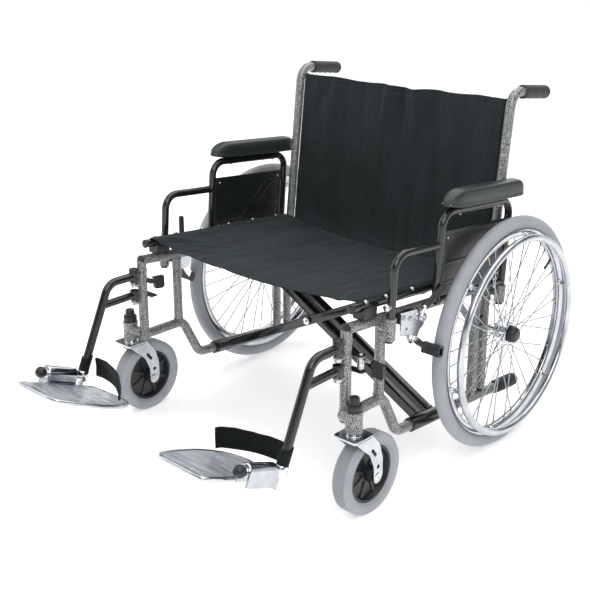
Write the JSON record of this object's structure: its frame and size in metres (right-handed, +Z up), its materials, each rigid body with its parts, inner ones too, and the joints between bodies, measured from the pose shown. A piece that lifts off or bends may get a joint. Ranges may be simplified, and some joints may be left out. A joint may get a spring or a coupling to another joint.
{
  "type": "manual wheelchair",
  "caption": "Folding manual wheelchair with an extra wide sling seat, swing-away footrests, desk-length armrests and grey solid tyres.",
  "frame": {"origin": "on the floor, in the middle of the overall box", "axes": "+Z up, +Y from the footrests to the push handles, +X to the sitter's left"},
  "size_m": [0.96, 1.2602, 0.9143],
  "materials": {
    "hammertone": "silver vein hammertone",
    "black_paint": "gloss black",
    "chrome": "polished",
    "aluminium": "satin",
    "nylon": "woven nylon",
    "webbing": "woven webbing",
    "pad": "satin moulded polyurethane",
    "plastic": "satin moulded",
    "rubber": "matt",
    "grey_tyre": "non-marking grey"
  },
  "bodies": {
    "frame_L": {"side_frame_L": "hammertone", "back_cane_L": "hammertone", "push_grip_L": "rubber", "tipping_lever_tip_L": "rubber", "seat_guide_L": "plastic", "brake_bracket_L": "chrome", "back_sling": "nylon"},
    "frame_R": {"side_frame_R": "hammertone", "back_cane_R": "hammertone", "push_grip_R": "rubber", "tipping_lever_tip_R": "rubber", "seat_guide_R": "plastic", "brake_bracket_R": "chrome"},
    "brace_A": {"brace_arm_A": "black_paint", "seat_rail_L": "black_paint"},
    "brace_B": {"brace_arm_B": "black_paint", "seat_rail_R": "black_paint", "brace_pivot_bolt": "chrome"},
    "seat": {"seat_sling": "nylon"},
    "armrest_L": {"armrest_frame_L": "black_paint", "armrest_pad_L": "pad", "skirt_guard_L": "plastic"},
    "button_L": {"armrest_button_L": "chrome"},
    "caster_swivel_L": {"caster_fork_L": "chrome", "caster_cap_L": "plastic"},
    "caster_wheel_L": {"caster_tyre_L": "grey_tyre", "caster_rim_L": "plastic"},
    "wheel_L": {"rear_tyre_L": "grey_tyre", "rear_wheel_L": "chrome", "hand_rim_L": "chrome", "axle_cap_L": "plastic"},
    "hanger_L": {"footrest_hanger_L": "black_paint", "footplate_hinge_L": "chrome", "heel_loop_L": "webbing"},
    "plate_L": {"footplate_L": "aluminium"},
    "latch_L": {"footrest_latch_L": "plastic"},
    "brake_L": {"brake_lever_L": "black_paint"},
    "shoe_L": {"brake_shoe_L": "plastic"},
    "armrest_R": {"armrest_frame_R": "black_paint", "armrest_pad_R": "pad", "skirt_guard_R": "plastic"},
    "button_R": {"armrest_button_R": "chrome"},
    "caster_swivel_R": {"caster_fork_R": "chrome", "caster_cap_R": "plastic"},
    "caster_wheel_R": {"caster_tyre_R": "grey_tyre", "caster_rim_R": "plastic"},
    "wheel_R": {"rear_tyre_R": "grey_tyre", "rear_wheel_R": "chrome", "hand_rim_R": "chrome", "axle_cap_R": "plastic"},
    "hanger_R": {"footrest_hanger_R": "black_paint", "footplate_hinge_R": "chrome", "heel_loop_R": "webbing"},
    "plate_R": {"footplate_R": "aluminium"},
    "latch_R": {"footrest_latch_R": "plastic"},
    "brake_R": {"brake_lever_R": "black_paint"},
    "shoe_R": {"brake_shoe_R": "plastic"}
  },
  "joints": [
    {"name": "fold", "type": "hinge", "parent": "frame_L", "child": "brace_B", "pos_m": [0.357, 0.12819, 0.11639], "axis": [0, 0.9972, -0.075], "range_deg": [0, 32], "deforming": ["seat_sling", "back_sling"]},
    {"name": "fold_pivot", "type": "hinge", "parent": "brace_B", "child": "brace_A", "pos_m": [0, 0.1214, 0.29289], "axis": [0, 0.9972, -0.075], "range_deg": [-66, 2]},
    {"name": "fold_frame_R", "type": "hinge", "parent": "brace_A", "child": "frame_R", "pos_m": [-0.357, 0.12819, 0.11639], "axis": [0, 0.9972, -0.075], "range_deg": [-1, 34]},
    {"name": "fold_seat", "type": "hinge", "parent": "brace_B", "child": "seat", "pos_m": [-0.357, 0.07972, 0.47202], "axis": [0, 0.9972, -0.075], "range_deg": [-34, 2]},
    {"name": "armrest_lift_L", "type": "slide", "parent": "frame_L", "child": "armrest_L", "axis": [0, 0.075, 0.9972], "range_m": [0, 0.15]},
    {"name": "armrest_button_push_L", "type": "slide", "parent": "armrest_L", "child": "button_L", "axis": [0, 0.9972, -0.075], "range_m": [0, 0.004], "stiffness_N_per_m": 400, "springref_m": -0.002},
    {"name": "caster_swivel_L", "type": "hinge", "parent": "frame_L", "child": "caster_swivel_L", "pos_m": [0.397, -0.2301, 0.25], "axis": [0, 0, -1], "continuous": true},
    {"name": "caster_spin_L", "type": "hinge", "parent": "caster_swivel_L", "child": "caster_wheel_L", "pos_m": [0.397, -0.1821, 0.1], "axis": [1, 0, 0], "continuous": true},
    {"name": "wheel_spin_L", "type": "hinge", "parent": "frame_L", "child": "wheel_L", "pos_m": [0.433, 0.3274, 0.305], "axis": [1, 0, 0], "continuous": true},
    {"name": "hanger_swing_L", "type": "hinge", "parent": "frame_L", "child": "hanger_L", "pos_m": [0.357, -0.2421, 0.39], "axis": [0, 0, 1], "range_deg": [0, 90]},
    {"name": "footplate_flip_L", "type": "hinge", "parent": "hanger_L", "child": "plate_L", "pos_m": [0.357, -0.42346, 0.18607], "axis": [0, 0.9265, -0.3762], "range_deg": [0, 88], "deforming": ["heel_loop_L"]},
    {"name": "hanger_latch_L", "type": "hinge", "parent": "frame_L", "child": "latch_L", "pos_m": [0.38, -0.1901, 0.371], "axis": [0, 0, 1], "range_deg": [0, 75]},
    {"name": "brake_lever_turn_L", "type": "hinge", "parent": "frame_L", "child": "brake_L", "pos_m": [0.4075, 0.0009, 0.432], "axis": [1, 0, 0], "range_deg": [0, 67]},
    {"name": "brake_shoe_turn_L", "type": "hinge", "parent": "frame_L", "child": "shoe_L", "pos_m": [0.406, -0.0261, 0.385], "axis": [1, 0, 0], "range_deg": [-21, 1]},
    {"name": "armrest_lift_R", "type": "slide", "parent": "frame_R", "child": "armrest_R", "axis": [0, 0.075, 0.9972], "range_m": [0, 0.15]},
    {"name": "armrest_button_push_R", "type": "slide", "parent": "armrest_R", "child": "button_R", "axis": [0, 0.9972, -0.075], "range_m": [0, 0.004], "stiffness_N_per_m": 400, "springref_m": -0.002},
    {"name": "caster_swivel_R", "type": "hinge", "parent": "frame_R", "child": "caster_swivel_R", "pos_m": [-0.397, -0.2301, 0.25], "axis": [0, 0, 1], "continuous": true},
    {"name": "caster_spin_R", "type": "hinge", "parent": "caster_swivel_R", "child": "caster_wheel_R", "pos_m": [-0.397, -0.1821, 0.1], "axis": [1, 0, 0], "continuous": true},
    {"name": "wheel_spin_R", "type": "hinge", "parent": "frame_R", "child": "wheel_R", "pos_m": [-0.433, 0.3274, 0.305], "axis": [1, 0, 0], "continuous": true},
    {"name": "hanger_swing_R", "type": "hinge", "parent": "frame_R", "child": "hanger_R", "pos_m": [-0.357, -0.2421, 0.39], "axis": [0, 0, -1], "range_deg": [0, 90]},
    {"name": "footplate_flip_R", "type": "hinge", "parent": "hanger_R", "child": "plate_R", "pos_m": [-0.357, -0.42346, 0.18607], "axis": [0, -0.9265, 0.3762], "range_deg": [0, 88], "deforming": ["heel_loop_R"]},
    {"name": "hanger_latch_R", "type": "hinge", "parent": "frame_R", "child": "latch_R", "pos_m": [-0.38, -0.1901, 0.371], "axis": [0, 0, 1], "range_deg": [0, 75]},
    {"name": "brake_lever_turn_R", "type": "hinge", "parent": "frame_R", "child": "brake_R", "pos_m": [-0.4075, 0.0009, 0.432], "axis": [1, 0, 0], "range_deg": [-67, 0]},
    {"name": "brake_shoe_turn_R", "type": "hinge", "parent": "frame_R", "child": "shoe_R", "pos_m": [-0.406, -0.0261, 0.385], "axis": [1, 0, 0], "range_deg": [-1, 21]}
  ],
  "couplings": [
    {"joint": "fold_pivot", "follows": "fold", "ratio": -2},
    {"joint": "fold_frame_R", "follows": "fold", "ratio": 1},
    {"joint": "fold_seat", "follows": "fold", "ratio": -1},
    {"joint": "brake_shoe_turn_L", "follows": "brake_lever_turn_L", "ratio": -0.29674},
    {"joint": "brake_shoe_turn_R", "follows": "brake_lever_turn_R", "ratio": -0.29674}
  ]
}
